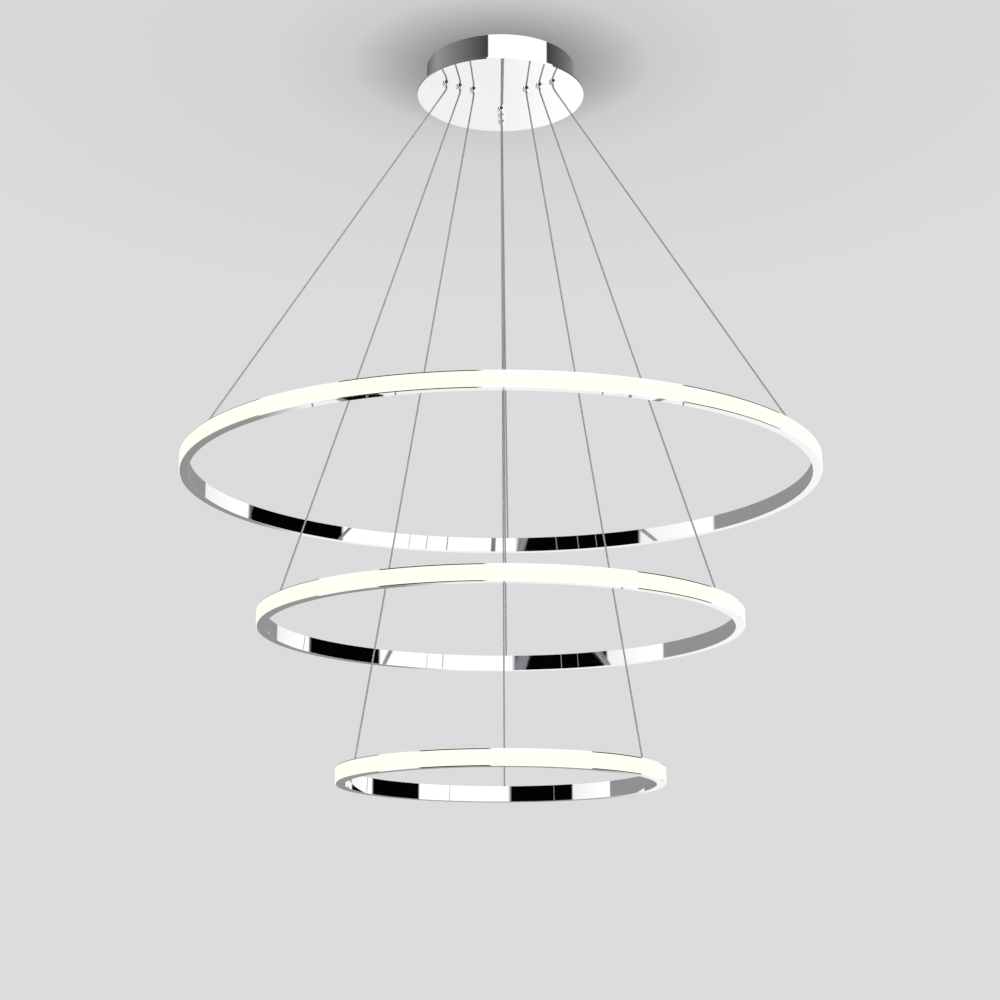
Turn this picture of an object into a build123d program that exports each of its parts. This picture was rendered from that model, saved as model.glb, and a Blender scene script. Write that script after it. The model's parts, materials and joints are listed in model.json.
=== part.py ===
from build123d import *
from math import pi, sqrt
import os

# A ceiling light: three lit rings hang one below the other on thin wires from a round canopy.
# Millimetres, +Z up. The origin is on the canopy's axis in the ceiling plane, and everything hangs
# below it. Each ring has three wires, one at the rear (+Y) and one at each side of the front.
# Small turned pieces are made from hexagonal stock, and their widths are across the flats.

# Rings: diameter over the diffuser, and how far the rings' undersides hang below the canopy
large_ring_diameter = 800.0
middle_ring_diameter = 600.0
small_ring_diameter = 400.0
large_ring_drop = 528.0
ring_spacing = 189.5

# How far each ring can be raised
large_ring_travel = 250.0
middle_ring_travel = 300.0
small_ring_travel = 400.0

# Ring channel: an extrusion rolled into a circle, open outwards
channel_height = 20.0
channel_depth = 10.6
channel_wall = 1.2
wire_inset = 6.0  # from the ring's outside to the wire's end in the channel's upper lip
wire_slot_width = 2.8
wire_slot_clearance = 0.3

# Diffuser: pressed into the channel's mouth, a little proud of its lips
diffuser_thickness = 3.0
diffuser_proud = 1.0
diffuser_clearance = 0.1

# Light boards: stiff strips laid end to end on the channel's web
board_length = 80.0
board_width = 8.0
board_thickness = 1.2
board_clearance = 0.1

# Wires: ropes of six strands round a core
wire_diameter = 2.2
wire_strands = 6
wire_straight = 8.5  # below the canopy, before the wire leans out
wire_bend_radius = 6.0
wire_tail = 4.0  # above the gripper
ferrule_width = 4.4
ferrule_length = 4.0

# Grippers: three rows of three, the small ring's nearest the middle
small_gripper_radius = 40.0
gripper_spacing = 20.0
rows = {"rear": 90, "left": 210, "right": 330}
head_width = 11.0
head_height = 16.0
neck_width = 7.0
neck_clearance = 0.1
neck_reach = 1.5  # below the canopy's disc, inside the nose
nose_width = 10.0
nose_chamfer = 2.2
nose_length = 4.0

# Plungers: sliding tubes round the wires, one in each gripper
plunger_width = 4.0
plunger_bore = 2.6
plunger_fit = 0.05
plunger_reach = 2.5  # out of the nose
plunger_flange_width = 5.0
plunger_flange_thickness = 1.5

# Canopy
canopy_height = 40.0
drum_diameter = 194.4
drum_wall = 1.2
disc_diameter = 219.0
disc_thickness = 2.5

# Ceiling bracket: a bar with its ends bent down inside the drum
bracket_width = 30.0
bracket_thickness = 2.0
bracket_end_height = 16.0
bracket_bend = 2.5
bracket_clearance = 0.4
ceiling_slot_spacing = 100.0
ceiling_slot_width = 4.6
ceiling_slot_length = 12.0
cable_hole_diameter = 12.0

# Earth screw and side screws
earth_screw_position = 25.0
earth_head_width = 7.0
earth_head_height = 2.8
side_screw_width = 4.0
side_screw_fit = 0.05
side_screw_length = 9.0
side_screw_drop = 9.0  # below the ceiling
side_screw_recess = 0.2
side_hole_clearance = 0.2

# Drivers, one for each ring, on pads between the rows of grippers
driver_azimuths = {"large_ring": 270, "middle_ring": 30, "small_ring": 150}
driver_length = 88.0
driver_width = 32.0
driver_height = 21.0
driver_inset = 40.0  # from the canopy's axis
driver_corner = 3.0
pad_length = 70.0
pad_width = 24.0
pad_thickness = 1.0

# Terminal block
terminal_length = 30.0
terminal_width = 17.0
terminal_height = 14.0
terminal_step_height = 8.0
terminal_top_width = 9.0

# Levels
disc_underside = -canopy_height
disc_top = disc_underside + disc_thickness
bend_level = disc_underside - wire_straight
head_top = disc_top + head_height
neck_end = disc_underside - neck_reach
nose_tip = disc_underside - nose_length
plunger_tip = nose_tip - plunger_reach

# Rings, from the top down: name, diameter, underside, the radius of its grippers and its travel
rings = [
    (
        "large_ring",
        large_ring_diameter,
        disc_underside - large_ring_drop,
        small_gripper_radius + 2 * gripper_spacing,
        large_ring_travel,
    ),
    (
        "middle_ring",
        middle_ring_diameter,
        disc_underside - large_ring_drop - ring_spacing,
        small_gripper_radius + gripper_spacing,
        middle_ring_travel,
    ),
    (
        "small_ring",
        small_ring_diameter,
        disc_underside - large_ring_drop - 2 * ring_spacing,
        small_gripper_radius,
        small_ring_travel,
    ),
]


def outwards(azimuth):
    return Vector(1, 0, 0).rotate(Axis.Z, azimuth)


def level_plane(azimuth, radius, height):
    """A level plane, its origin out at that azimuth and its x pointing away from the canopy's axis."""
    return Plane(
        origin=outwards(azimuth) * radius + Vector(0, 0, height),
        x_dir=outwards(azimuth),
        z_dir=(0, 0, 1),
    )


def three_rows(radius):
    return PolarLocations(radius, len(rows), start_angle=rows["rear"])


def hexagon(width, mode=Mode.ADD):
    return RegularPolygon(width / 2, 6, major_radius=False, mode=mode)


def save(part, label):
    part.label = label
    export_step(part, f"parts/{label}.step")


os.makedirs("parts", exist_ok=True)

for ring, diameter, underside, gripper_radius, travel in rings:
    channel_radius = diameter / 2 - diffuser_proud
    web_radius = channel_radius - channel_depth
    middle_level = underside + channel_height / 2
    mouth_height = channel_height - 2 * channel_wall
    lip_level = underside + channel_height - channel_wall
    wire_radius = diameter / 2 - wire_inset

    # How far the wire leans out for each millimetre that it comes down, at rest and with the ring
    # raised, and the slot that the steeper one needs
    lean = (wire_radius - gripper_radius) / (bend_level - lip_level)
    raised_lean = (wire_radius - gripper_radius) / (bend_level - lip_level - travel)
    wire_slot_length = (
        wire_diameter * sqrt(1 + raised_lean**2)
        + raised_lean * channel_wall
        + 2 * wire_slot_clearance
    )

    with BuildPart() as channel:
        with BuildSketch(Plane.XZ):
            with Locations((channel_radius - channel_depth / 2, middle_level)):
                Rectangle(channel_depth, channel_height)
            with Locations((channel_radius, middle_level)):
                Rectangle(2 * (channel_depth - channel_wall), mouth_height, mode=Mode.SUBTRACT)
        revolve(axis=Axis.Z)
        with BuildSketch(Plane.XY.offset(lip_level)):
            with three_rows(wire_radius - raised_lean * channel_wall / 2):
                Rectangle(wire_slot_length, wire_slot_width)
        extrude(amount=channel_wall, mode=Mode.SUBTRACT)
    save(channel.part, f"{ring}_channel")

    with BuildPart() as diffuser:
        with BuildSketch(Plane.XZ):
            with Locations(((diameter - diffuser_thickness) / 2, middle_level)):
                Rectangle(diffuser_thickness, mouth_height - 2 * diffuser_clearance)
        revolve(axis=Axis.Z)
    save(diffuser.part, f"{ring}_diffuser")

    board_radius = web_radius + channel_wall + board_clearance
    board_count = round(2 * pi * board_radius / board_length)
    with BuildPart() as boards:
        with BuildSketch(Plane.XY.offset(middle_level - board_width / 2)):
            RegularPolygon(board_radius + board_thickness, board_count, major_radius=False)
            RegularPolygon(board_radius, board_count, major_radius=False, mode=Mode.SUBTRACT)
        extrude(amount=board_width)
    save(boards.part, f"{ring}_light_boards")

    # Ferrules: crimped on the wires' ends, so that the lip rests on them
    with BuildPart() as ferrules:
        with BuildSketch(Plane.XY.offset(lip_level)):
            with three_rows(wire_radius):
                hexagon(ferrule_width)
        extrude(amount=-ferrule_length)
    save(ferrules.part, f"{ring}_ferrules")

    # A wire comes straight down out of its gripper, leans out and ends flat on its ferrule.
    for row, azimuth in rows.items():
        upright = Plane(
            origin=(0, 0, 0),
            x_dir=outwards(azimuth),
            z_dir=outwards(azimuth).cross(Vector(0, 0, 1)),
        )
        with BuildPart() as wire:
            with BuildLine(upright) as route:
                FilletPolyline(
                    (gripper_radius, head_top + wire_tail),
                    (gripper_radius, bend_level),
                    (wire_radius + lean * channel_wall, underside + channel_height - 2 * channel_wall),
                    radius=wire_bend_radius,
                )
            with BuildSketch(Plane(origin=route.line @ 0, z_dir=route.line % 0)):
                RegularPolygon(wire_diameter / 2, wire_strands)
            sweep()
            split(bisect_by=Plane.XY.offset(lip_level), keep=Keep.TOP)
        save(wire.part, f"{ring}_wire_{row}")

    # Gripper bodies: a head that rests on the canopy's disc, and a neck that goes through it
    with BuildPart() as grippers:
        with BuildSketch(Plane.XY.offset(disc_top)):
            with three_rows(gripper_radius):
                hexagon(head_width)
        extrude(amount=head_height)
        with BuildSketch(Plane.XY.offset(neck_end)):
            with three_rows(gripper_radius):
                hexagon(neck_width)
        extrude(amount=disc_top - neck_end)
        with BuildSketch(Plane.XY.offset(neck_end)):
            with three_rows(gripper_radius):
                hexagon(plunger_flange_width + 2 * plunger_fit)
        extrude(amount=head_top - neck_end, mode=Mode.SUBTRACT)
    save(grippers.part, f"{ring}_grippers")

    # Noses: nuts on the necks, tapering down round the plungers
    with BuildPart() as noses:
        with BuildSketch(Plane.XY.offset(disc_underside)):
            with three_rows(gripper_radius):
                hexagon(nose_width)
        extrude(amount=-nose_length)
        chamfer(noses.edges().group_by(Axis.Z)[0], nose_chamfer)
        with BuildSketch(Plane.XY.offset(disc_underside)):
            with three_rows(gripper_radius):
                hexagon(neck_width + 2 * neck_clearance)
        extrude(amount=-neck_reach, mode=Mode.SUBTRACT)
        with BuildSketch(Plane.XY.offset(disc_underside)):
            with three_rows(gripper_radius):
                hexagon(plunger_width + 2 * plunger_fit)
        extrude(amount=-nose_length, mode=Mode.SUBTRACT)
    save(noses.part, f"{ring}_gripper_noses")

    for row, azimuth in rows.items():
        with BuildPart() as plunger:
            with BuildSketch(level_plane(azimuth, gripper_radius, plunger_tip)):
                hexagon(plunger_width)
            extrude(amount=neck_end - plunger_tip)
            with BuildSketch(level_plane(azimuth, gripper_radius, neck_end)):
                hexagon(plunger_flange_width)
            extrude(amount=plunger_flange_thickness)
            with BuildSketch(level_plane(azimuth, gripper_radius, plunger_tip)):
                hexagon(plunger_bore)
            extrude(
                amount=neck_end + plunger_flange_thickness - plunger_tip, mode=Mode.SUBTRACT
            )
        save(plunger.part, f"{ring}_plunger_{row}")

    # The ring's driver lies on its pad, square to the radius.
    pad_plane = level_plane(driver_azimuths[ring], driver_inset + driver_width / 2, disc_top)
    with BuildPart() as pad:
        with BuildSketch(pad_plane):
            Rectangle(pad_width, pad_length)
        extrude(amount=pad_thickness)
    save(pad.part, f"{ring}_driver_pad")

    with BuildPart() as driver:
        with BuildSketch(pad_plane.offset(pad_thickness)) as outline:
            Rectangle(driver_width, driver_length)
            chamfer(outline.vertices(), driver_corner)
        extrude(amount=driver_height)
    save(driver.part, f"{ring}_driver")

# Canopy: the mirror disc, and the drum that stands on it up to the ceiling
with BuildPart() as disc:
    with BuildSketch(Plane.XY.offset(disc_underside)):
        Circle(disc_diameter / 2)
        for _, _, _, gripper_radius, _ in rings:
            with three_rows(gripper_radius):
                hexagon(neck_width + 2 * neck_clearance, mode=Mode.SUBTRACT)
    extrude(amount=disc_thickness)
save(disc.part, "canopy_disc")

drum_bore_radius = drum_diameter / 2 - drum_wall
with BuildPart() as drum:
    with BuildSketch(Plane.XY.offset(disc_top)):
        Circle(drum_diameter / 2)
        Circle(drum_bore_radius, mode=Mode.SUBTRACT)
    extrude(amount=-disc_top)
    with BuildSketch(Plane.YZ):
        with Locations((0, -side_screw_drop)):
            hexagon(side_screw_width + 2 * side_hole_clearance)
    extrude(amount=drum_diameter / 2, both=True, mode=Mode.SUBTRACT)
save(drum.part, "canopy_drum")

# Ceiling bracket: its ends stand just inside the drum, clear of its curve
bracket_reach = sqrt(drum_bore_radius**2 - (bracket_width / 2) ** 2) - bracket_clearance
with BuildPart() as bracket:
    with BuildSketch(Plane.XZ):
        with Locations((0, -bracket_end_height / 2)):
            Rectangle(2 * bracket_reach, bracket_end_height)
        with Locations((0, -bracket_thickness - bracket_end_height / 2)):
            Rectangle(
                2 * (bracket_reach - bracket_thickness), bracket_end_height, mode=Mode.SUBTRACT
            )
    extrude(amount=bracket_width / 2, both=True)
    top_edges = bracket.edges().filter_by(Axis.Y).group_by(Axis.Z)[-1]
    fillet(top_edges, bracket_bend)
    with BuildSketch(Plane.XY):
        with GridLocations(ceiling_slot_spacing, 0, 2, 1):
            SlotOverall(ceiling_slot_length, ceiling_slot_width)
        Circle(cable_hole_diameter / 2)
    extrude(amount=-bracket_thickness, mode=Mode.SUBTRACT)
    with BuildSketch(Plane.YZ):
        with Locations((0, -side_screw_drop)):
            hexagon(side_screw_width + 2 * side_screw_fit)
    extrude(amount=bracket_reach, both=True, mode=Mode.SUBTRACT)
save(bracket.part, "ceiling_bracket")

with BuildPart() as earth_screw:
    with BuildSketch(Plane.XY.offset(-bracket_thickness)):
        with Locations((earth_screw_position, 0)):
            hexagon(earth_head_width)
    extrude(amount=-earth_head_height)
save(earth_screw.part, "earth_screw")

# Side screws: headless, through the drum's holes into the bracket's ends
side_screw_end = drum_diameter / 2 - side_screw_recess
with BuildPart() as side_screws:
    for direction in (1, -1):
        with BuildSketch(Plane.YZ.offset(direction * side_screw_end)):
            with Locations((0, -side_screw_drop)):
                hexagon(side_screw_width)
        extrude(amount=-direction * side_screw_length)
save(side_screws.part, "side_screws")

with BuildPart() as terminal_block:
    with BuildSketch(Plane.YZ):
        with Locations((0, disc_top + terminal_step_height / 2)):
            Rectangle(terminal_width, terminal_step_height)
        with Locations((0, disc_top + terminal_height / 2)):
            Rectangle(terminal_top_width, terminal_height)
    extrude(amount=terminal_length / 2, both=True)
save(terminal_block.part, "terminal_block")
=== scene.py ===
"""A chandelier of three lit rings on thin wires: its visible pieces, finishes and studio."""

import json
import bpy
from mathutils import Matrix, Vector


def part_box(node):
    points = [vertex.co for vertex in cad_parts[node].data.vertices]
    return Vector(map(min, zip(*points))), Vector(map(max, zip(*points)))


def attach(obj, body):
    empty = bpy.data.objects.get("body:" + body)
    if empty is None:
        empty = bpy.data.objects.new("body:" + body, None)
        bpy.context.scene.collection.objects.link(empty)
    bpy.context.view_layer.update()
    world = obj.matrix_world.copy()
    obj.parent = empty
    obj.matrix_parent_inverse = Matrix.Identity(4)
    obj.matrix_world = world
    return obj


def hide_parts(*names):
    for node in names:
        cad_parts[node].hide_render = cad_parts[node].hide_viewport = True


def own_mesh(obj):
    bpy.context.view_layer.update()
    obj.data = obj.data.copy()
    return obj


bl_info = {
    "name": "Ring Chandelier",
    "version": (1, 0, 0),
    "blender": (4, 5, 0),
    "location": "3D View > Sidebar > Chandelier",
    "description": "Models and finishes a chandelier of three lit rings round its packed frame",
    "category": "Object",
}

from math import hypot, pi, radians

import bmesh
import bpy
from bpy.props import FloatProperty, FloatVectorProperty, IntProperty, PointerProperty
from mathutils import Matrix, Vector

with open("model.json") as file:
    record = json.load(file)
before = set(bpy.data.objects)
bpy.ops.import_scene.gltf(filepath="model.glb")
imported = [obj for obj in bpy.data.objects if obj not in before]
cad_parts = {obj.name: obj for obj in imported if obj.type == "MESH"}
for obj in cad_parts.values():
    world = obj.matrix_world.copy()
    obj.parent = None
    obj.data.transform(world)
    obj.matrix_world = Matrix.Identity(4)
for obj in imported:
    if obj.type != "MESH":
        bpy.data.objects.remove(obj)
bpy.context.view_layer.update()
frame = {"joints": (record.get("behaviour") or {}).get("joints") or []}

RINGS = ("large_ring", "middle_ring", "small_ring")
ROWS = {"rear": radians(90), "left": radians(210), "right": radians(330)}
DRIVER_ROWS = {
    "large_ring": radians(270),
    "middle_ring": radians(30),
    "small_ring": radians(150),
}
UP = Vector((0, 0, 1))
MM = 0.001

# How far each joint goes, and some levels in metres below the ceiling, read from the frame
RISE = {joint["name"]: joint["range_m"][1] for joint in frame["joints"]}
DISC_LOW, DISC_HIGH = (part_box("canopy_disc")[corner][2] for corner in (0, 1))
DISC_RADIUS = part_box("canopy_disc")[1][0]
DRUM_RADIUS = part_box("canopy_drum")[1][0]


def number(name, default, description, **more):
    """A number that a user may change."""
    return FloatProperty(name=name, description=description, default=default, **more)


def length(name, default, description):
    """A size in metres that a user may change."""
    return number(
        name, default, description, min=0.0, precision=5, unit="LENGTH", subtype="DISTANCE"
    )


def turns(name, default, low):
    """How finely a round form is stepped."""
    words = "How many straight steps make a full turn"
    return IntProperty(name=name, description=words, default=default, min=low)


def colour(name, default, description):
    """A linear colour that a user may change."""
    return FloatVectorProperty(
        name=name,
        description=description,
        default=default,
        size=3,
        min=0.0,
        max=1.0,
        subtype="COLOR",
    )


# Settings


class RingSettings(bpy.types.PropertyGroup):
    wall: length("Channel wall", 1.2 * MM, "Thickness of the rolled channel's web and lips")
    channel_depth: length("Channel depth", 10.6 * MM, "Depth of the channel, web and lips")
    rounding: length("Channel rounding", 0.1 * MM, "Radius on the channel's edges")
    diffuser_depth: length("Diffuser thickness", 3 * MM, "Thickness of the glowing band")
    diffuser_rounding: length("Diffuser rounding", 0.5 * MM, "Radius on the diffuser's edges")
    slot_width: length("Wire slot width", 2.8 * MM, "Width of the slot for a wire in the lip")
    wire_inset: length("Wire inset", 6 * MM, "From the ring's outside to the end of a wire")
    steps: turns("Steps round a ring", 384, 24)


class WireSettings(bpy.types.PropertyGroup):
    diameter: length("Wire diameter", 2.2 * MM, "Diameter over the strands")
    lay: length("Lay", 15 * MM, "Length in which a strand goes once round the rope")
    straight: length("Straight stretch", 8.5 * MM, "How far a wire hangs straight below the disc")
    groove: number(
        "Strand groove", 0.16, "Depth between strands, as a share of the radius", min=0.0, max=0.5
    )


class GripperSettings(bpy.types.PropertyGroup):
    nose_radius: length("Nose radius", 5.5 * MM, "Radius of the nose against the canopy")
    nose_tip: length("Nose tip radius", 2.75 * MM, "Radius of the nose at its tip")
    nose_land: length("Nose land", 1.8 * MM, "Height of the nose's upright rim")
    neck_radius: length("Neck radius", 3.5 * MM, "Radius of the neck through the disc")
    head_radius: length("Head radius", 5.5 * MM, "Radius of the head above the disc")
    plunger_radius: length("Plunger radius", 2 * MM, "Radius of the plunger's stem")
    plunger_bore: length("Plunger bore", 1.3 * MM, "Radius of the plunger's hole")
    flange_radius: length("Flange radius", 2.5 * MM, "Radius of the plunger's flange")
    steps: turns("Steps round a gripper", 48, 12)


class CanopySettings(bpy.types.PropertyGroup):
    disc_rounding: length("Disc rounding", 0.15 * MM, "Radius on the disc's rim")
    drum_wall: length("Drum wall", 1.2 * MM, "Thickness of the drum's wall")
    drum_rounding: length("Drum rounding", 0.3 * MM, "Radius on the drum's edges")
    hole_clearance: length("Hole clearance", 0.1 * MM, "Gap round a gripper's neck in the disc")
    screw_hole: length("Side screw hole", 2.3 * MM, "Radius of the drum's screw holes")
    screw_level: length("Side screw level", 9 * MM, "How far the side screws are below the ceiling")
    side_screw_radius: length("Side screw radius", 2 * MM, "Radius of the side screws")
    bracket_thickness: length("Bracket thickness", 2 * MM, "Thickness of the ceiling bracket")


class DriverSettings(bpy.types.PropertyGroup):
    case_length: length("Driver length", 88 * MM, "Length of a driver's case")
    width: length("Driver width", 32 * MM, "Width of a driver's case")
    corner: length("Driver corner", 3 * MM, "Radius on the case's upright corners")
    inset: length("Driver inset", 40 * MM, "From the canopy's axis to the case")


class FinishSettings(bpy.types.PropertyGroup):
    chrome: colour("Chrome", (0.9, 0.905, 0.915), "Colour of the polished chrome")
    glow: colour("Glow", (1.0, 1.0, 0.84), "Colour of the light in the diffusers")
    wire: colour("Wire", (0.575, 0.59, 0.63), "Colour of the steel wires")
    zinc: colour("Zinc", (0.62, 0.63, 0.64), "Colour of the bracket's zinc coat")
    moulding: colour("Mouldings", (0.8, 0.8, 0.78), "Colour of the drivers' cases")
    glow_strength: number("Glow strength", 1.0, "Brightness of the diffusers", min=0.0)


class StageSettings(bpy.types.PropertyGroup):
    background: number(
        "Background", 219.5, "Display level of the plain background", min=0.0, max=255.0
    )
    floor_drop: length("Floor", 2.4, "How far the floor is below the ceiling")
    camera_distance: length("Camera distance", 2.468, "From the canopy's axis to the camera")
    camera_drop: length("Camera drop", 1.2187, "How far the camera is below the ceiling")
    camera_turn: number(
        "Camera turn", radians(1.5), "Round from the front, towards +X", subtype="ANGLE"
    )
    camera_pan: number("Camera pan", 0.0003, "To the left of the canopy's axis", subtype="ANGLE")
    camera_tilt: number("Camera tilt", 0.24935, "How far the camera looks up", subtype="ANGLE")
    lens: number("Lens", 73.12, "Focal length on a 36 mm sensor", unit="CAMERA")


class ChandelierSettings(bpy.types.PropertyGroup):
    rings: PointerProperty(type=RingSettings, name="Rings", description="Rings and diffusers")
    wires: PointerProperty(type=WireSettings, name="Wires", description="Suspension wires")
    grippers: PointerProperty(type=GripperSettings, name="Grippers", description="Wire grippers")
    canopy: PointerProperty(type=CanopySettings, name="Canopy", description="Ceiling canopy")
    drivers: PointerProperty(type=DriverSettings, name="Drivers", description="Lamp drivers")
    finishes: PointerProperty(type=FinishSettings, name="Finishes", description="Colours")
    stage: PointerProperty(type=StageSettings, name="Stage", description="Studio and camera")


def settings():
    return bpy.context.scene.chandelier


# Shared modelling


def linked(name, data):
    """An object for the data, put in the scene."""
    made = bpy.data.objects.new(name, data)
    bpy.context.scene.collection.objects.link(made)
    return made


def evaluated_mesh(piece):
    """The object's mesh as Blender works it out."""
    bpy.context.view_layer.update()
    evaluated = piece.evaluated_get(bpy.context.evaluated_depsgraph_get())
    return bpy.data.meshes.new_from_object(evaluated)


def soften(form, geom, amount, affect="EDGES", segments=3):
    """Rounds off edges, or the corners of a flat outline."""
    bmesh.ops.bevel(
        form,
        geom=geom,
        offset=amount,
        segments=segments,
        profile=0.5,
        affect=affect,
        material=-1,
        clamp_overlap=True,
    )


def move(form, x=0.0, y=0.0, z=0.0):
    bmesh.ops.translate(form, verts=form.verts, vec=(x, y, z))


def quarter_turn(form, axis):
    bmesh.ops.rotate(form, verts=form.verts, matrix=Matrix.Rotation(pi / 2, 3, axis))


def repeat(form, angle, steps):
    """Repeats a form round the canopy's axis."""
    bmesh.ops.spin(
        form,
        geom=form.verts[:] + form.edges[:] + form.faces[:],
        cent=(0, 0, 0),
        axis=UP,
        angle=angle,
        steps=steps,
        use_duplicate=True,
    )


def turned(outline, steps, rounding=0.0):
    """A form turned about the upright axis from a closed outline of (radius, height) points."""
    form = bmesh.new()
    corners = [form.verts.new((radius, 0, height)) for radius, height in outline]
    form.faces.new(corners)
    if rounding:
        outer = [corner for corner in corners if corner.co.x > rounding]
        soften(form, outer, rounding, "VERTICES")
    bmesh.ops.delete(form, geom=form.faces[:], context="FACES_ONLY")
    bmesh.ops.spin(
        form,
        geom=form.verts[:] + form.edges[:],
        cent=(0, 0, 0),
        axis=UP,
        angle=2 * pi,
        steps=steps,
        use_merge=True,
    )
    bmesh.ops.remove_doubles(form, verts=form.verts, dist=1e-7)
    return form


def rectangle(x, y, width, depth):
    """The corners of a rectangle round a point."""
    across, along = width / 2, depth / 2
    return [
        (x - across, y - along),
        (x + across, y - along),
        (x + across, y + along),
        (x - across, y + along),
    ]


def lift(form, height):
    """Extrudes all faces of a flat form upwards into a closed solid."""
    raised = bmesh.ops.extrude_face_region(form, geom=form.faces[:])["geom"]
    corners = [part for part in raised if isinstance(part, bmesh.types.BMVert)]
    bmesh.ops.translate(form, verts=corners, vec=UP * height)


def prism(outline, low, high, rounding=0.0):
    """An upright solid over a closed outline of (x, y) points, with rounded upright edges."""
    form = bmesh.new()
    corners = [form.verts.new((x, y, low)) for x, y in outline]
    form.faces.new(corners)
    if rounding:
        soften(form, corners, rounding, "VERTICES", segments=5)
    lift(form, high - low)
    return form


def flat_disc(radius, segments, x=0.0, y=0.0, z=0.0):
    """One flat face with straight sides round a point."""
    form = bmesh.new()
    bmesh.ops.create_circle(form, cap_ends=True, radius=radius, segments=segments)
    move(form, x, y, z)
    return form


def post(radius, low, high, place=(0, 0)):
    """An upright round solid."""
    form = flat_disc(radius, 64, *place, low)
    lift(form, high - low)
    return form


def add(form, extra):
    """Puts another form's geometry into a form; the other one goes."""
    mesh = bpy.data.meshes.new("extra")
    bmesh.ops.recalc_face_normals(extra, faces=extra.faces)
    extra.to_mesh(mesh)
    extra.free()
    form.from_mesh(mesh)
    bpy.data.meshes.remove(mesh)


def rim(form, level, above=True):
    """The edges round a solid's top or bottom."""
    near = 1e-5
    return [
        edge
        for edge in form.edges
        if all(v.co.z > level - near if above else v.co.z < level + near for v in edge.verts)
    ]


def on_both_sides(form, drop):
    """Lays an upright form along x below the ceiling, and repeats it on the other side."""
    quarter_turn(form, "Y")
    move(form, z=-drop)
    repeat(form, pi, 1)
    return form


def stand_along_x(form):
    """Lays a solid built up along z over an outline in (y, z) along the x axis."""
    turn = Matrix(((0, 0, 1), (1, 0, 0), (0, 1, 0)))
    bmesh.ops.rotate(form, verts=form.verts, matrix=turn)


def into_rows(form, radius):
    """Moves a form from the axis out to the rear row and repeats it in the other two."""
    move(form, y=radius)
    repeat(form, radians(240), 2)
    return form


def as_object(name, form):
    """An object with the form as its mesh, faces outwards."""
    bmesh.ops.recalc_face_normals(form, faces=form.faces)
    mesh = bpy.data.meshes.new(name)
    form.to_mesh(mesh)
    form.free()
    return linked(name, mesh)


def cut(piece, form):
    """Cuts the form out of the piece."""
    cutter = as_object("cutter", form)
    modifier = piece.modifiers.new("Cut", "BOOLEAN")
    modifier.operation = "DIFFERENCE"
    modifier.solver = "EXACT"
    modifier.object = cutter
    whole = piece.data
    piece.data = evaluated_mesh(piece)
    piece.modifiers.clear()
    bpy.data.meshes.remove(whole)
    bpy.data.objects.remove(cutter)


def made_once(build):
    """A material by the name of the function that builds it."""
    return bpy.data.materials.get(build.__name__) or build(build.__name__)


def finish_piece(piece, build, body, nodes=(), crease=radians(8)):
    """Gives a piece its finish and its body, and hides the CAD nodes that it stands for."""
    piece.data.materials.clear()
    piece.data.materials.append(made_once(build))
    piece.data.shade_smooth()
    piece.data.set_sharp_from_angle(angle=crease)
    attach(piece, body)
    if nodes:
        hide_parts(*nodes)


def refinish(node, build):
    """Gives a CAD node a better material."""
    for entry in bpy.data.objects[node].material_slots:
        entry.material = made_once(build)


def out(azimuth, radius, height):
    """The point at an azimuth round the canopy's axis, a radius out and at a height."""
    return Matrix.Rotation(azimuth, 3, "Z") @ Vector((radius, 0, height))


def gripper_radius(ring):
    low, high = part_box(f"{ring}_plunger_rear")
    return (low[1] + high[1]) / 2


def bend_level():
    return DISC_LOW - settings().wires.straight


def wire_end(ring):
    """Where a wire ends in the upper lip: its radius as x, and its level."""
    rings = settings().rings
    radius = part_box(f"{ring}_diffuser")[1][0] - rings.wire_inset
    return Vector((radius, 0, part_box(f"{ring}_channel")[1][2] - rings.wall))


# Finishes


def add_node(tree, kind, inputs=(), **values):
    """Adds a node, sets or links its inputs in order, and gives its first output."""
    made = tree.nodes.new(kind)
    for key, value in values.items():
        setattr(made, key, value)
    for socket, source in zip(made.inputs, inputs):
        if isinstance(source, bpy.types.NodeSocket):
            tree.links.new(source, socket)
        elif source is not None:
            socket.default_value = source
    return made.outputs[0]


def fill_ramp(ramp, stops):
    """Gives a colour ramp its stops of (position, grey)."""
    while len(ramp.elements) < len(stops):
        ramp.elements.new(1.0)
    for element, (position, grey) in zip(ramp.elements, stops):
        element.position = position
        element.color = (grey, grey, grey, 1)


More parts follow.
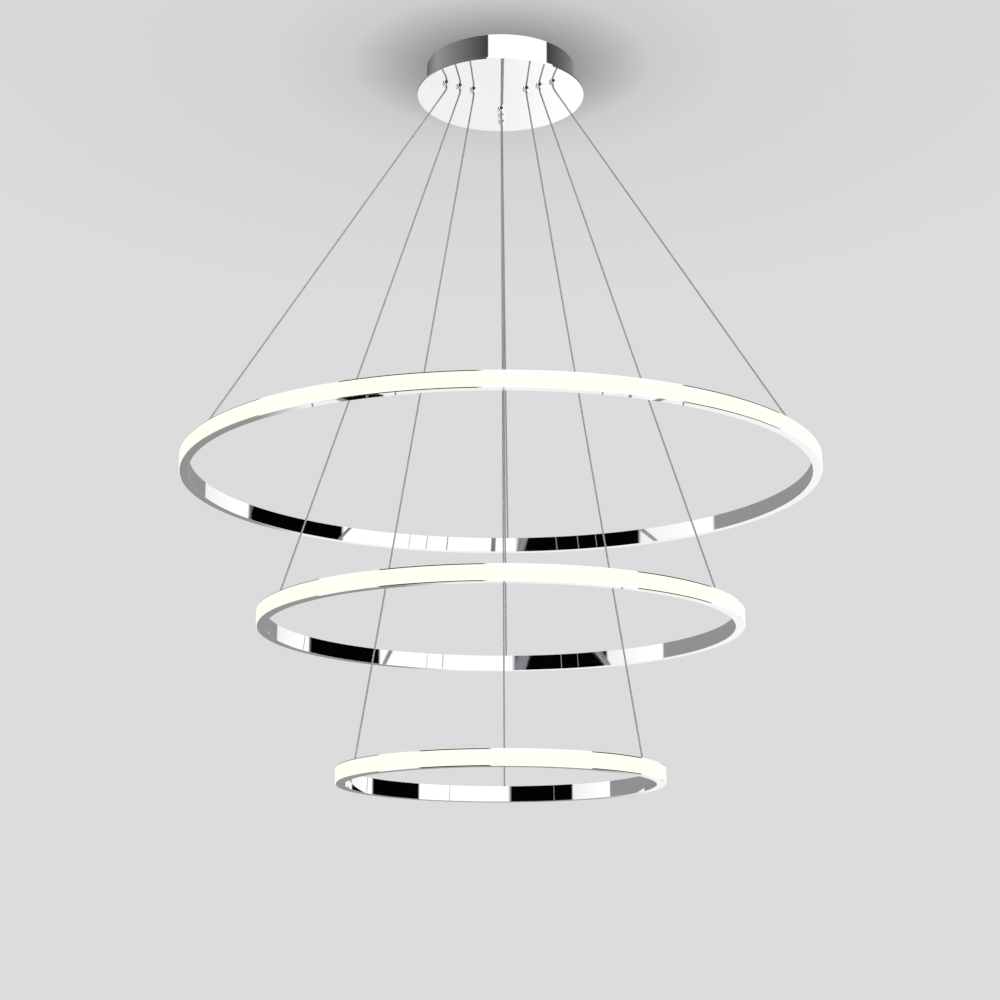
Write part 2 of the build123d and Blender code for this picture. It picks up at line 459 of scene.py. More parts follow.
class Finish:
    """A material under construction: its node tree, shader and a few ways to add nodes."""

    def __init__(self, name):
        self.material = bpy.data.materials.new(name)
        self.material.use_nodes = True
        self.nodes = self.material.node_tree.nodes
        self.links = self.material.node_tree.links
        self.shader = self.nodes["Principled BSDF"]
        self.place = self.nodes.new("ShaderNodeTexCoord").outputs["Object"]

    def set(self, **values):
        for socket, value in values.items():
            self.shader.inputs[socket.replace("_", " ")].default_value = value

    def node(self, kind, inputs=(), **values):
        return add_node(self.material.node_tree, kind, inputs, **values)

    def noise(self, scale, detail=2.0, stretch=(1, 1, 1)):
        place = self.node("ShaderNodeMapping", [self.place, None, None, stretch])
        return self.node("ShaderNodeTexNoise", [place, None, scale, detail])

    def between(self, factor, low, high, socket):
        """Drives a number socket of the shader from low to high."""
        spread = self.node("ShaderNodeMapRange", [factor, 0.3, 0.7, low, high])
        self.links.new(spread, self.shader.inputs[socket])

    def tint(self, factor, low, high, socket="Base Color"):
        """Drives a colour socket of the shader between two colours."""
        ramp = self.nodes.new("ShaderNodeValToRGB")
        ramp.color_ramp.elements[0].position = 0.3
        ramp.color_ramp.elements[0].color = (*low, 1)
        ramp.color_ramp.elements[1].position = 0.7
        ramp.color_ramp.elements[1].color = (*high, 1)
        self.links.new(factor, ramp.inputs["Fac"])
        self.links.new(ramp.outputs["Color"], self.shader.inputs[socket])

    def bump(self, height, distance, strength=1.0):
        bump = self.nodes.new("ShaderNodeBump")
        bump.inputs["Strength"].default_value = strength
        bump.inputs["Distance"].default_value = distance
        self.links.new(height, bump.inputs["Height"])
        self.links.new(bump.outputs["Normal"], self.shader.inputs["Normal"])


def shade(base, share):
    return tuple(channel * share for channel in base)


def mirror_chrome(name):
    """Polished chrome, with faint smears that only change how sharp the reflection is."""
    finish = Finish(name)
    base = settings().finishes.chrome
    finish.set(Metallic=1.0)
    smears = finish.noise(9.0, detail=3.0, stretch=(1, 1, 2.5))
    finish.tint(smears, shade(base, 0.985), base)
    finish.between(smears, 0.012, 0.03, "Roughness")
    return finish.material


def opal_glow(name):
    """Opal plastic lit from behind, a trace less bright where the plastic is thicker."""
    finish = Finish(name)
    glow = settings().finishes.glow
    plastic = (0.1, 0.1, 0.09)
    finish.set(Roughness=0.6, Emission_Strength=settings().finishes.glow_strength)
    cloud = finish.noise(3.0)
    finish.tint(cloud, shade(glow, 0.99), glow, "Emission Color")
    finish.tint(finish.noise(40.0), shade(plastic, 0.95), plastic)
    finish.bump(finish.noise(900.0), 0.00004, 0.15)
    return finish.material


def rope_steel(name):
    """Drawn steel, a little darker here and there along the strands."""
    finish = Finish(name)
    base = settings().finishes.wire
    finish.set(Metallic=0.7)
    finish.tint(finish.noise(160.0), shade(base, 0.94), base)
    finish.between(finish.noise(500.0), 0.45, 0.6, "Roughness")
    return finish.material


def zinc_coat(name):
    """Galvanised sheet with its faint spangle."""
    finish = Finish(name)
    base = settings().finishes.zinc
    finish.set(Metallic=1.0)
    spangle = finish.noise(220.0, detail=4.0)
    finish.tint(spangle, shade(base, 0.82), base)
    finish.between(spangle, 0.32, 0.5, "Roughness")
    finish.bump(finish.noise(700.0), 0.00005, 0.3)
    return finish.material


def moulded(name, base, roughness=0.45):
    """Moulded plastic with a fine spark-eroded grain."""
    finish = Finish(name)
    finish.tint(finish.noise(25.0), shade(base, 0.95), base)
    finish.between(finish.noise(60.0), roughness - 0.05, roughness + 0.08, "Roughness")
    finish.bump(finish.noise(1600.0), 0.00004, 0.35)
    return finish.material


def driver_case(name):
    return moulded(name, tuple(settings().finishes.moulding))


def terminal_plastic(name):
    return moulded(name, (0.86, 0.85, 0.8), 0.35)


def board_lacquer(name):
    return moulded(name, (0.9, 0.9, 0.88), 0.3)


def pad_foam(name):
    """Dark closed-cell foam."""
    finish = Finish(name)
    finish.tint(finish.noise(300.0), (0.03, 0.03, 0.03), (0.06, 0.06, 0.06))
    finish.set(Roughness=0.9)
    finish.bump(finish.noise(1200.0), 0.0002, 0.8)
    return finish.material


def plain_brass(name):
    """Brass with a light tarnish."""
    finish = Finish(name)
    finish.set(Metallic=1.0)
    finish.tint(finish.noise(120.0), (0.5, 0.38, 0.16), (0.72, 0.56, 0.28))
    finish.between(finish.noise(300.0), 0.25, 0.4, "Roughness")
    return finish.material


def display(level):
    """Linear light for a display level from 0 to 255."""
    share = level / 255
    return ((share + 0.055) / 1.055) ** 2.4


# The studio's surfaces, as display levels: lit panels, the floor's paper, walls, and dark gaps
LIT, PALE, WALL, SHADE, GAP = 262, 240, 145, 60, 1

# Panels round the object. Azimuths are in degrees from the camera's side towards +X; each panel
# runs on to the next one's start, from its first level to its second.
SIDES = (
    (-170, WALL, WALL),
    (-92, LIT, PALE),
    (-57, GAP, GAP),
    (-7, LIT, LIT),
    (65, GAP, GAP),
    (114, LIT, PALE),
)
BESIDE_DRUM = ((-180, SHADE, WALL), (-118, WALL, SHADE), (-19, LIT, LIT), (76, SHADE, WALL))
BESIDE_RINGS = ((-180, WALL, WALL), *SIDES, (150, WALL, WALL))
UNDER_LOW_RING = ((-180, WALL, WALL), *SIDES, (176, WALL, WALL))
UNDER_MIDDLE_RING = ((-180, PALE, PALE), (-178, WALL, WALL), *SIDES)
UNDER_HIGH_RING = ((-180, PALE, PALE), (-173.5, WALL, WALL), *SIDES)
UNDER_CANOPY = (
    (-180, PALE, PALE),
    (-110, SHADE, SHADE),
    (-75, LIT, LIT),
    (-45, GAP, GAP),
    (45, LIT, LIT),
    (177, LIT, PALE),
)

# From the bottom up: panels, the elevation in degrees where they start, and half the soft step
STUDIO = (
    (UNDER_HIGH_RING, -21, 2),
    (UNDER_MIDDLE_RING, -12.4, 0.5),
    (UNDER_LOW_RING, -8.2, 0.6),
    (BESIDE_RINGS, 0, 2),
    (BESIDE_DRUM, 20.5, 1.5),
)
OVERHEAD = (45, 8)  # where the pale ceiling of the studio starts, and half its soft step
CHROME_SHARE = 0.9  # of the light, as the chrome gives back


def studio_world(name, stage):
    """Plain background for the camera, and for mirrors a studio of white panels and dark gaps."""
    world = bpy.data.worlds.new(name)
    world.use_nodes = True
    tree = world.node_tree
    tree.nodes.clear()

    def node(kind, inputs=(), **values):
        return add_node(tree, kind, inputs, **values)

    direction = tree.nodes.new("ShaderNodeTexCoord").outputs["Generated"]
    turned_back = node("ShaderNodeVectorRotate", [direction], rotation_type="Z_AXIS")
    turned_back.node.inputs["Angle"].default_value = -stage.camera_turn
    parts = node("ShaderNodeSeparateXYZ", [turned_back]).node.outputs
    towards = node("ShaderNodeMath", [parts["Y"], -1.0], operation="MULTIPLY")
    azimuth = node("ShaderNodeMath", [parts["X"], towards], operation="ARCTAN2")
    share = node("ShaderNodeMath", [azimuth, 1 / (2 * pi), 0.5], operation="MULTIPLY_ADD")
    elevation = node("ShaderNodeMath", [parts["Z"]], operation="ARCSINE")

    def band_ramp(bands, softness=0.15):
        """A colour ramp round the horizon, with a short soft step at each band's start"""
        ends = [start for start, *_ in bands[1:]] + [180]
        stops = []
        for (start, first, last), end in zip(bands, ends):
            stops += [(start + softness, first), (end - softness, last)]
        made = node("ShaderNodeValToRGB", [share])
        fill_ramp(
            made.node.color_ramp,
            [(angle / 360 + 0.5, display(level) / CHROME_SHARE) for angle, level in stops],
        )
        return made

    def above(lower, upper, degrees, softness=1.0):
        """The lower light under an elevation, and the upper one over it"""
        step = node(
            "ShaderNodeMapRange",
            [elevation, radians(degrees - softness), radians(degrees + softness), 0.0, 1.0],
            interpolation_type="SMOOTHSTEP",
        )
        mixed = tree.nodes.new("ShaderNodeMix")
        mixed.data_type = "RGBA"
        tree.links.new(step, mixed.inputs["Factor"])
        colours = [socket for socket in mixed.inputs if socket.type == "RGBA"]
        for socket, source in zip(colours, (lower, upper)):
            if isinstance(source, bpy.types.NodeSocket):
                tree.links.new(source, socket)
            else:
                socket.default_value = (*[display(source)] * 3, 1)
        return next(socket for socket in mixed.outputs if socket.type == "RGBA")

    light = band_ramp(UNDER_CANOPY)
    for bands, start, softness in STUDIO:
        light = above(light, band_ramp(bands), start, softness)
    light = above(light, PALE, *OVERHEAD)

    seen = tree.nodes.new("ShaderNodeLightPath").outputs["Is Camera Ray"]
    surround = node("ShaderNodeBackground", [light])
    backdrop = node("ShaderNodeBackground", [(*[display(stage.background)] * 3, 1)])
    mixed = node("ShaderNodeMixShader", [seen, surround, backdrop])
    output = tree.nodes.new("ShaderNodeOutputWorld")
    tree.links.new(mixed, output.inputs["Surface"])
    return world


def over_radius(finish, stops):
    """A ramp of greys over the distance from the canopy's axis."""
    flat = finish.node("ShaderNodeVectorMath", [finish.place, (1, 1, 0)], operation="MULTIPLY")
    far = finish.node("ShaderNodeVectorMath", [flat], operation="LENGTH").node.outputs["Value"]
    reach = stops[-1][0]
    share = finish.node("ShaderNodeMath", [far, reach], operation="DIVIDE")
    made = finish.node("ShaderNodeValToRGB", [share])
    fill_ramp(made.node.color_ramp, [(radius / reach, grey) for radius, grey in stops])
    return made


def through(finish, factor, first, second):
    """Mixes two shaders and puts the result in the material's output."""
    mixed = finish.node("ShaderNodeMixShader", [factor, first, second])
    finish.links.new(mixed, finish.nodes["Material Output"].inputs["Surface"])


def pale_floor(name):
    """Plain pale floor that fades out towards its edge."""
    finish = Finish(name)
    finish.set(Roughness=0.9, Specular_IOR_Level=0.1)
    finish.tint(finish.noise(0.6), (0.78, 0.78, 0.78), (0.8, 0.8, 0.8))
    clear = finish.node("ShaderNodeBsdfTransparent")
    edge = over_radius(finish, ((2.5, 0.0), (5.8, 1.0)))
    through(finish, edge, finish.shader.outputs[0], clear)
    return finish.material


def soft_shade(name):
    """Shade on the ceiling, darkest beside the drum and clear from above."""
    finish = Finish(name)
    tone = over_radius(finish, ((0.09, 0.42), (0.2, 0.85), (0.3, 0.93), (0.9, 1.0)))
    below = finish.node("ShaderNodeBsdfTransparent", [tone])
    above = finish.node("ShaderNodeBsdfTransparent")
    behind = finish.nodes.new("ShaderNodeNewGeometry").outputs["Backfacing"]
    through(finish, behind, below, above)
    return finish.material


# Operators


class CHANDELIER_OT_channels(bpy.types.Operator):
    """Rolls the three chrome channels, with the slots that the wires pass through"""

    bl_idname = "chandelier.channels"
    bl_label = "Ring channels"

    def execute(self, context):
        rings = settings().rings
        for ring in RINGS:
            low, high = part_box(f"{ring}_channel")
            mouth = high[0]
            web = mouth - rings.channel_depth
            outline = [
                (web, low[2]),
                (mouth, low[2]),
                (mouth, low[2] + rings.wall),
                (web + rings.wall, low[2] + rings.wall),
                (web + rings.wall, high[2] - rings.wall),
                (mouth, high[2] - rings.wall),
                (mouth, high[2]),
                (web, high[2]),
            ]
            channel = as_object(f"{ring}_profile", turned(outline, rings.steps, rings.rounding))
            cut(channel, self.slots(ring, high[2]))
            finish_piece(channel, mirror_chrome, ring, [f"{ring}_channel"])
        return {"FINISHED"}

    def slots(self, ring, top):
        """A slot in the upper lip at each row, as long as the raised ring's wire asks for"""
        rings = settings().rings
        end = wire_end(ring)
        hanging = bend_level() - end.z - RISE[f"{ring}_height"]
        lean = (end.x - gripper_radius(ring)) / hanging
        along = settings().wires.diameter * hypot(1, lean) + lean * rings.wall + 0.6 * MM
        middle = end.x - lean * rings.wall / 2
        outline = rectangle(0, middle, rings.slot_width, along)
        return into_rows(prism(outline, end.z - MM, top + MM, 0.49 * rings.slot_width), 0)


class CHANDELIER_OT_diffusers(bpy.types.Operator):
    """Presses a glowing diffuser into each channel's mouth"""

    bl_idname = "chandelier.diffusers"
    bl_label = "Diffusers"

    def execute(self, context):
        rings = settings().rings
        for ring in RINGS:
            low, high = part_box(f"{ring}_diffuser")
            outline = [
                (high[0] - rings.diffuser_depth, low[2]),
                (high[0], low[2]),
                (high[0], high[2]),
                (high[0] - rings.diffuser_depth, high[2]),
            ]
            form = turned(outline, rings.steps, rings.diffuser_rounding)
            band = as_object(f"{ring}_band", form)
            finish_piece(band, opal_glow, ring, [f"{ring}_diffuser"])
        return {"FINISHED"}


class CHANDELIER_OT_ring_insides(bpy.types.Operator):
    """Finishes the light boards and the wire ends inside the channels"""

    bl_idname = "chandelier.ring_insides"
    bl_label = "Ring insides"

    def execute(self, context):
        for ring in RINGS:
            refinish(f"{ring}_light_boards", board_lacquer)
            refinish(f"{ring}_ferrules", rope_steel)
        return {"FINISHED"}


class CHANDELIER_OT_wires(bpy.types.Operator):
    """Hangs each ring on three stranded wires, drawn with the ring at rest"""

    bl_idname = "chandelier.wires"
    bl_label = "Wires"

    def execute(self, context):
        wires = settings().wires
        strands = self.strands(wires)
        for ring in RINGS:
            for row, azimuth in ROWS.items():
                path = self.path(self.route(ring, azimuth))
                rope = self.rope(f"{ring}_rope_{row}", path, strands)
                node = f"{ring}_wire_{row}"
                finish_piece(rope, rope_steel, "canopy", [node], crease=radians(60))
                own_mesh(rope)
        bpy.data.objects.remove(strands)
        return {"FINISHED"}

    def route(self, ring, azimuth):
        """The wire's points: down through its gripper, round the bend and out to the lip"""
        wires = settings().wires
        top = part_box(f"{ring}_wire_rear")[1][2]
        bend = out(azimuth, gripper_radius(ring), bend_level())
        end = out(azimuth, wire_end(ring).x, wire_end(ring).z)
        along = (end - bend).normalized()
        return [
            out(azimuth, gripper_radius(ring), top),
            bend + UP * 4 * MM,
            bend,
            bend + along * 6 * wires.diameter,
            end - along * 6 * wires.diameter,
            end,
        ]

    def path(self, route):
        """Points read from the route's spline, at least a step apart"""
        wires = settings().wires
        curve = bpy.data.curves.new("route", "CURVE")
        curve.dimensions = "3D"
        curve.resolution_u = 480
        spline = curve.splines.new("NURBS")
        spline.points.add(len(route) - 1)
        for point, place in zip(spline.points, route):
            point.co = (*place, 1)
        spline.order_u = 3
        spline.use_endpoint_u = True
        line = self.made_mesh(curve)
        read = [vertex.co.copy() for vertex in line.vertices]
        bpy.data.meshes.remove(line)
        path = read[:1]
        for point in read[1:-1]:
            if (point - path[-1]).length > wires.lay / 9 < (point - read[-1]).length:
                path.append(point)
        return path + read[-1:]

    def strands(self, wires):
        """The rope's cross-section: six strands, their tops on the rope's diameter"""
        curve = bpy.data.curves.new("strands", "CURVE")
        spline = curve.splines.new("POLY")
        spline.points.add(17)
        spline.use_cyclic_u = True
        for count, point in enumerate(spline.points):
            reach = wires.diameter / 2 * (1 - wires.groove * (count % 3 == 0))
            point.co = (*(Matrix.Rotation(count * pi / 9, 2) @ Vector((reach, 0))), 0, 1)
        return linked("strands", curve)

    def rope(self, name, path, strands):
        """A rope along the path, its strands laid round it once in each lay length"""
        curve = bpy.data.curves.new("rope", "CURVE")
        curve.dimensions = "3D"
        curve.bevel_mode = "OBJECT"
        curve.bevel_object = strands
        curve.use_fill_caps = True
        spline = curve.splines.new("POLY")
        spline.points.add(len(path) - 1)
        gone = 0.0
        for point, place, before in zip(spline.points, path, path[:1] + path):
            gone += (place - before).length
            point.co = (*place, 1)
            point.tilt = 2 * pi * gone / settings().wires.lay
        form = bmesh.new()
        mesh = self.made_mesh(curve)
        form.from_mesh(mesh)
        bpy.data.meshes.remove(mesh)
        bmesh.ops.remove_doubles(form, verts=form.verts, dist=1e-6)
        return as_object(name, form)

    def made_mesh(self, curve):
        """The curve's mesh, as Blender gives it; the curve goes"""
        holder = linked("holder", curve)
        mesh = evaluated_mesh(holder)
        bpy.data.objects.remove(holder)
        bpy.data.curves.remove(curve)
        return mesh


class CHANDELIER_OT_grippers(bpy.types.Operator):
    """Turns the wire grippers: bodies above the disc, and noses under it"""

    bl_idname = "chandelier.grippers"
    bl_label = "Grippers"

    def execute(self, context):
        grippers = settings().grippers
        for ring in RINGS:
            radius = gripper_radius(ring)
            bottom, top = (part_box(f"{ring}_grippers")[corner][2] for corner in (0, 1))
            form = into_rows(turned(self.body(bottom, top), grippers.steps, 0.25 * MM), radius)
            bodies = as_object(f"{ring}_gripper_bodies", form)
            finish_piece(bodies, mirror_chrome, "canopy", [f"{ring}_grippers"])

            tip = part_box(f"{ring}_gripper_noses")[0][2]
            form = into_rows(turned(self.nose(tip), grippers.steps, 0.15 * MM), radius)
            noses = as_object(f"{ring}_gripper_cones", form)
            finish_piece(
                noses, mirror_chrome, "canopy", [f"{ring}_gripper_noses"]
            )
        return {"FINISHED"}

    def body(self, bottom, top):
        grippers = settings().grippers
        bore = grippers.flange_radius + 0.05 * MM
        groove = (DISC_HIGH + top) / 2
        return [
            (bore, bottom),
            (grippers.neck_radius, bottom),
            (grippers.neck_radius, DISC_HIGH),
            (grippers.head_radius, DISC_HIGH),
            (grippers.head_radius, groove - 1.2 * MM),
            (grippers.head_radius - 0.5 * MM, groove - 0.7 * MM),
            (grippers.head_radius - 0.5 * MM, groove + 0.7 * MM),
            (grippers.head_radius, groove + 1.2 * MM),
            (grippers.head_radius, top - MM),
            (grippers.head_radius - MM, top),
            (1.4 * MM, top),
            (1.4 * MM, top - 5 * MM),
            (bore, top - 9 * MM),
        ]

    def nose(self, tip):
        grippers = settings().grippers
        neck_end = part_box("large_ring_grippers")[0][2]
        return [
            (grippers.plunger_radius + 0.05 * MM, tip),
            (grippers.nose_tip, tip),
            (grippers.nose_radius, DISC_LOW - grippers.nose_land),
            (grippers.nose_radius, DISC_LOW),
            (grippers.neck_radius + 0.1 * MM, DISC_LOW),
            (grippers.neck_radius + 0.1 * MM, neck_end),
            (grippers.plunger_radius + 0.05 * MM, neck_end),
        ]


class CHANDELIER_OT_plungers(bpy.types.Operator):
    """Turns the nine sliding plungers"""

    bl_idname = "chandelier.plungers"
    bl_label = "Plungers"

    def execute(self, context):
        grippers = settings().grippers
        for ring in RINGS:
            for row, azimuth in ROWS.items():
                node = f"{ring}_plunger_{row}"
                low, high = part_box(node)
                neck_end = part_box(f"{ring}_grippers")[0][2]
                outline = [
                    (grippers.plunger_bore, low[2]),
                    (grippers.plunger_radius, low[2]),
                    (grippers.plunger_radius, neck_end),
                    (grippers.flange_radius, neck_end),
                    (grippers.flange_radius, high[2]),
                    (grippers.plunger_bore, high[2]),
                ]
                form = turned(outline, grippers.steps, 0.2 * MM)
                move(form, *out(azimuth, gripper_radius(ring), 0))
                plunger = as_object(f"{ring}_release_tube_{row}", form)
                finish_piece(plunger, mirror_chrome, node, [node])
        return {"FINISHED"}


class CHANDELIER_OT_canopy(bpy.types.Operator):
    """Makes the canopy's mirror disc and the drum that it closes"""

    bl_idname = "chandelier.canopy"
    bl_label = "Canopy"

    def execute(self, context):
        canopy = settings().canopy
        steps = settings().rings.steps // 2
        form = turned(
            [(0, DISC_LOW), (DISC_RADIUS, DISC_LOW), (DISC_RADIUS, DISC_HIGH), (0, DISC_HIGH)],
            steps,
            canopy.disc_rounding,
        )
        disc = as_object("canopy_mirror", form)
        hole = settings().grippers.neck_radius + canopy.hole_clearance
        for ring in RINGS:
            cut(disc, into_rows(post(hole, DISC_LOW - MM, DISC_HIGH + MM), gripper_radius(ring)))
        finish_piece(disc, mirror_chrome, "canopy", ["canopy_disc"])

        bore = DRUM_RADIUS - canopy.drum_wall
        form = turned(
            [(bore, DISC_HIGH), (DRUM_RADIUS, DISC_HIGH), (DRUM_RADIUS, 0), (bore, 0)],
            steps,
            canopy.drum_rounding,
        )
        drum = as_object("canopy_wall", form)
        holes = post(canopy.screw_hole, DRUM_RADIUS - 5 * MM, DRUM_RADIUS + 5 * MM)
        cut(drum, on_both_sides(holes, canopy.screw_level))
        finish_piece(drum, mirror_chrome, "canopy", ["canopy_drum"])
        return {"FINISHED"}


class CHANDELIER_OT_bracket(bpy.types.Operator):
    """Bends the ceiling bracket and fits its screws"""

    bl_idname = "chandelier.bracket"
    bl_label = "Bracket and screws"

    def execute(self, context):
        canopy = settings().canopy
        low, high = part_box("ceiling_bracket")
        thick = canopy.bracket_thickness
        form = prism(
            [
                (low[0], low[2]),
                (low[0] + thick, low[2]),
                (low[0] + thick, -thick),
                (high[0] - thick, -thick),
                (high[0] - thick, low[2]),
                (high[0], low[2]),
                (high[0], high[2]),
                (low[0], high[2]),
            ],
            low[1],
            high[1],
            0.8 * MM,
        )
        quarter_turn(form, "X")
        bracket = as_object("bracket_bar", form)
        slot_reach, slot_length, slot_width = 50 * MM, 12 * MM, 4.6 * MM
        cable_hole, through_bar = 6 * MM, 5 * MM
        for middle in (-slot_reach, slot_reach):
            slot = rectangle(middle, 0, slot_length, slot_width)
            cut(bracket, prism(slot, -through_bar, through_bar, 2.29 * MM))
        cut(bracket, post(cable_hole, -through_bar, through_bar))
        screw_holes = post(canopy.side_screw_radius + 0.05 * MM, 80 * MM, 100 * MM)
        cut(bracket, on_both_sides(screw_holes, canopy.screw_level))
        finish_piece(bracket, zinc_coat, "canopy", ["ceiling_bracket"])

        self.side_screws(canopy)
        self.earth_screw()
        return {"FINISHED"}

    def side_screws(self, canopy):
        """Headless screws with a round socket in the outer end"""
        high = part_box("side_screws")[1]
        radius = canopy.side_screw_radius
        inner = high[0] - 9 * MM
        socket, socket_floor = 1.1 * MM, high[0] - 2 * MM
        form = turned(
            [
                (0, inner),
                (radius - 0.6 * MM, inner),
                (radius, inner + 0.6 * MM),
                (radius, high[0]),
                (socket, high[0]),
                (socket, socket_floor),
                (0, socket_floor),
            ],
            settings().grippers.steps,
        )
        screws = as_object("side_grub_screws", on_both_sides(form, canopy.screw_level))
        finish_piece(screws, zinc_coat, "canopy", ["side_screws"])

    def earth_screw(self):
        """A hexagon head with a slot across it, hanging under the bracket"""
        low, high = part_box("earth_screw")
        middle = (low[0] + high[0]) / 2
        form = flat_disc((high[1] - low[1]) / 2, 6, middle, 0, low[2])
        lift(form, high[2] - low[2])
        soften(form, rim(form, low[2], above=False), 0.5 * MM)
        screw = as_object("earth_bolt", form)
        slot = rectangle(middle, 0, 10 * MM, 1.1 * MM)
        cut(screw, prism(slot, low[2] - MM, low[2] + 1.2 * MM))
        finish_piece(screw, plain_brass, "canopy", ["earth_screw"])


class CHANDELIER_OT_drivers(bpy.types.Operator):
    """Makes the three drivers, each in a two-part case, and finishes their pads"""

    bl_idname = "chandelier.drivers"
    bl_label = "Drivers"

    def execute(self, context):
        for ring, azimuth in DRIVER_ROWS.items():
            low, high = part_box(f"{ring}_driver")
            form = self.case(high[2] - low[2])
            place = Matrix.Translation(UP * low[2]) @ Matrix.Rotation(azimuth, 4, "Z")
            bmesh.ops.transform(form, matrix=place, verts=form.verts)
            driver = as_object(f"{ring}_driver_case", form)
            finish_piece(driver, driver_case, "canopy", [f"{ring}_driver"])
            refinish(f"{ring}_driver_pad", pad_foam)
        return {"FINISHED"}

    def case(self, height):
        """A tray, a lid set on it with a seam between them, and a cover at each end"""
        drivers = settings().drivers
        middle = drivers.inset + drivers.width / 2
        seam = 0.55 * height
        gap = 0.5 * MM
        outline = rectangle(middle, 0, drivers.width, drivers.case_length)
        form = prism(outline, 0, seam, drivers.corner)
        core = rectangle(middle, 0, drivers.width - 2 * gap, drivers.case_length - 2 * gap)
        add(form, prism(core, seam - gap, height - 2 * gap, drivers.corner))
        cover = 16 * MM
        body = drivers.case_length - 2 * cover
        lids = [(0, body - gap)]
        lids += [(side * (body + cover) / 2, cover - gap / 2) for side in (-1, 1)]
        for along, span in lids:
            lid = prism(rectangle(middle, along, drivers.width, span), seam + gap, height, MM)
            soften(lid, rim(lid, height), 0.8 * MM)
            add(form, lid)
        head, foot = 2.2 * MM, height - 2 * MM
        for along in (-1, 1):
            screw = turned([(0, foot), (head, foot), (head, height), (0, height)], 24, 0.3 * MM)
            move(screw, middle, along * (body + cover) / 2)
            add(form, screw)
        return form


class CHANDELIER_OT_terminals(bpy.types.Operator):
    """Makes the mains terminal block with its wells and brass screws"""

    bl_idname = "chandelier.terminals"
    bl_label = "Terminal block"

    def execute(self, context):
        low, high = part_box("terminal_block")
        step = low[2] + 8 * MM
        gap = 0.7 * MM
        top = 4.5 * MM  # half the width above the step
        well, well_place, floor = 1.7 * MM, 2.2 * MM, high[2] - 4 * MM
        pole = (high[0] - low[0]) / 3
        middles = [low[0] + (count + 0.5) * pole for count in range(3)]
        form = bmesh.new()
        for count in range(3):
            start = low[0] + count * pole
            section = prism(
                [
                    (low[1], low[2]),
                    (high[1], low[2]),
                    (high[1], step),
                    (top, step),
                    (top, high[2]),
                    (-top, high[2]),
                    (-top, step),
                    (low[1], step),
                ],
                start + gap / 2,
                start + pole - gap / 2,
                0.5 * MM,
            )
            stand_along_x(section)
            add(form, section)
        block = as_object("terminal_housing", form)
        for middle in middles:
            for side in (-1, 1):
                cut(block, post(well, floor, high[2] + MM, (middle, side * well_place)))
        finish_piece(block, terminal_plastic, "canopy", ["terminal_block"])

        form = bmesh.new()
        waist = rectangle(0, 0, high[0] - low[0] - pole, 12 * MM)
        add(form, prism(waist, low[2] + MM, step - MM))
        bars = as_object("terminal_bridge", form)
        finish_piece(bars, terminal_plastic, "canopy")

        form = bmesh.new()
        for middle in middles:
            for side in (-1, 1):
                add(form, self.well_screw(middle, side * well_place, floor))
        screws = as_object("terminal_screws", form)
        finish_piece(screws, plain_brass, "canopy")
        return {"FINISHED"}

    def well_screw(self, across, along, floor):
        """A small screw on the floor of its well, with a slot"""
        screw = bmesh.new()
        for side in (-1, 1):
            half = rectangle(0, side * 0.9 * MM, 2.4 * MM, 1.3 * MM)
            add(screw, prism(half, floor, floor + 1.5 * MM, 0.6 * MM))
        add(screw, post(1.3 * MM, floor - 0.2 * MM, floor + 0.9 * MM))
        move(screw, across, along)
        return screw


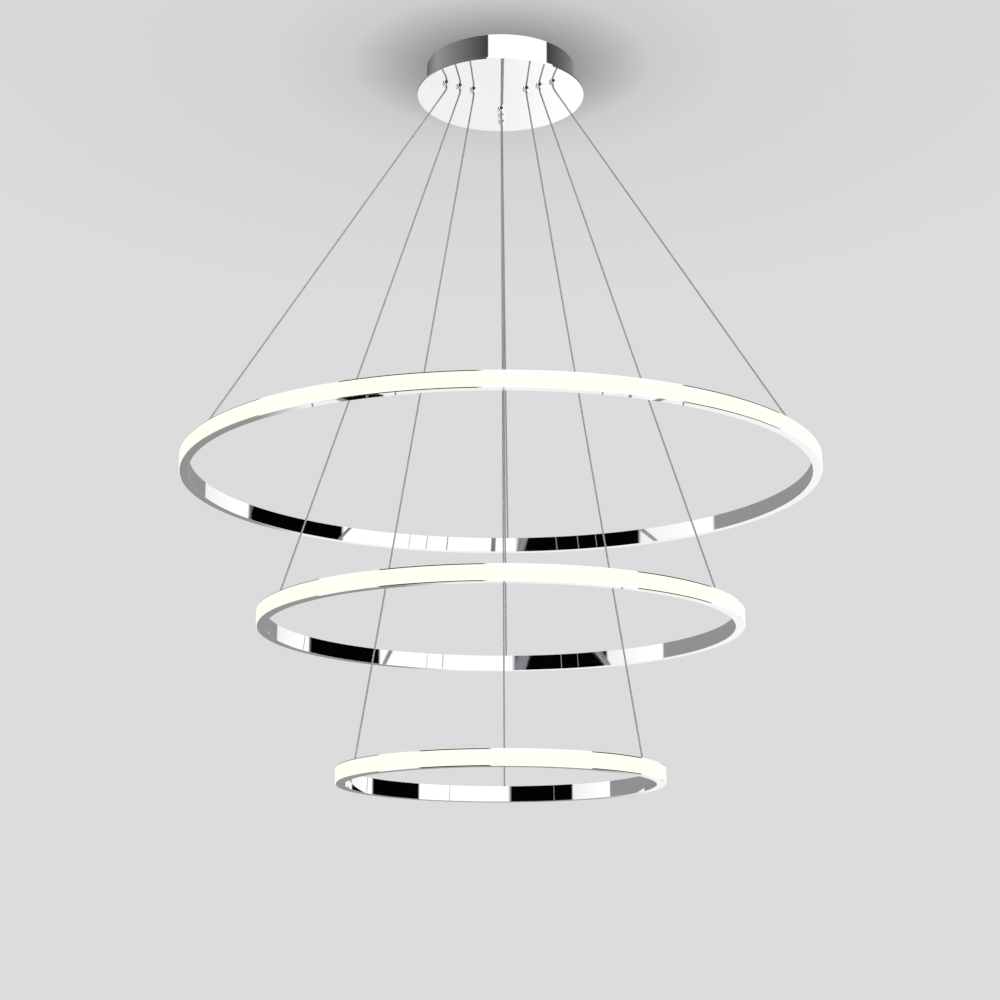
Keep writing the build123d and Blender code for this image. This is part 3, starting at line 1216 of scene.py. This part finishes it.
class CHANDELIER_OT_stage(bpy.types.Operator):
    """Sets up the studio's light, the floor, the soft shade at the ceiling and the camera"""

    bl_idname = "chandelier.stage"
    bl_label = "Studio and camera"

    def execute(self, context):
        stage = settings().stage
        context.scene.view_settings.view_transform = "Standard"
        context.scene.world = studio_world("studio", stage)
        self.floor(stage)
        self.ceiling_shade()
        self.camera(stage)
        return {"FINISHED"}

    def floor(self, stage):
        floor = as_object("floor", flat_disc(6, 64, z=-stage.floor_drop))
        floor.data.materials.append(made_once(pale_floor))
        floor.visible_glossy = False

    def ceiling_shade(self):
        """The soft shade that the canopy throws on the ceiling, clear where there is none"""
        shade_disc = as_object("ceiling_shade", flat_disc(1, 96, z=MM))
        for face in shade_disc.data.polygons:
            if face.normal.z > 0:
                shade_disc.data.flip_normals()
        shade_disc.data.materials.append(made_once(soft_shade))
        shade_disc.visible_glossy = False
        shade_disc.visible_diffuse = False
        shade_disc.visible_shadow = False

    def camera(self, stage):
        lens = bpy.data.cameras.new("camera")
        lens.lens = stage.lens
        lens.sensor_width = 36
        camera = linked("camera", lens)
        heading = Matrix.Rotation(stage.camera_turn, 3, "Z")
        camera.location = heading @ Vector((0, -stage.camera_distance, -stage.camera_drop))
        looking = stage.camera_turn + stage.camera_pan
        camera.rotation_euler = (pi / 2 + stage.camera_tilt, 0, looking)
        bpy.context.scene.camera = camera


# Panel and registration

OPERATORS = (
    CHANDELIER_OT_stage,
    CHANDELIER_OT_wires,
    CHANDELIER_OT_channels,
    CHANDELIER_OT_diffusers,
    CHANDELIER_OT_ring_insides,
    CHANDELIER_OT_grippers,
    CHANDELIER_OT_plungers,
    CHANDELIER_OT_canopy,
    CHANDELIER_OT_bracket,
    CHANDELIER_OT_drivers,
    CHANDELIER_OT_terminals,
)


class CHANDELIER_PT_panel(bpy.types.Panel):
    """The chandelier's sizes and finishes, and the operators that make it"""

    bl_idname = "CHANDELIER_PT_panel"
    bl_label = "Ring Chandelier"
    bl_space_type = "VIEW_3D"
    bl_region_type = "UI"
    bl_category = "Chandelier"

    def draw(self, context):
        layout = self.layout
        for group in PARTS:
            box = layout.box()
            box.label(text=group.capitalize())
            part = getattr(context.scene.chandelier, group)
            for name in part.__annotations__:
                box.prop(part, name)
        column = layout.column(align=True)
        for operator in OPERATORS:
            column.operator(operator.bl_idname)


PARTS = ("rings", "wires", "grippers", "canopy", "drivers", "finishes", "stage")
CLASSES = (
    RingSettings,
    WireSettings,
    GripperSettings,
    CanopySettings,
    DriverSettings,
    FinishSettings,
    StageSettings,
    ChandelierSettings,
    *OPERATORS,
    CHANDELIER_PT_panel,
)


def register():
    for entry in CLASSES:
        bpy.utils.register_class(entry)
    bpy.types.Scene.chandelier = PointerProperty(type=ChandelierSettings)


def unregister():
    del bpy.types.Scene.chandelier
    for entry in reversed(CLASSES):
        bpy.utils.unregister_class(entry)


def main():
    register()
    for operator in OPERATORS:
        group, name = operator.bl_idname.split(".")
        getattr(getattr(bpy.ops, group), name)()


if __name__ == "__main__":
    main()
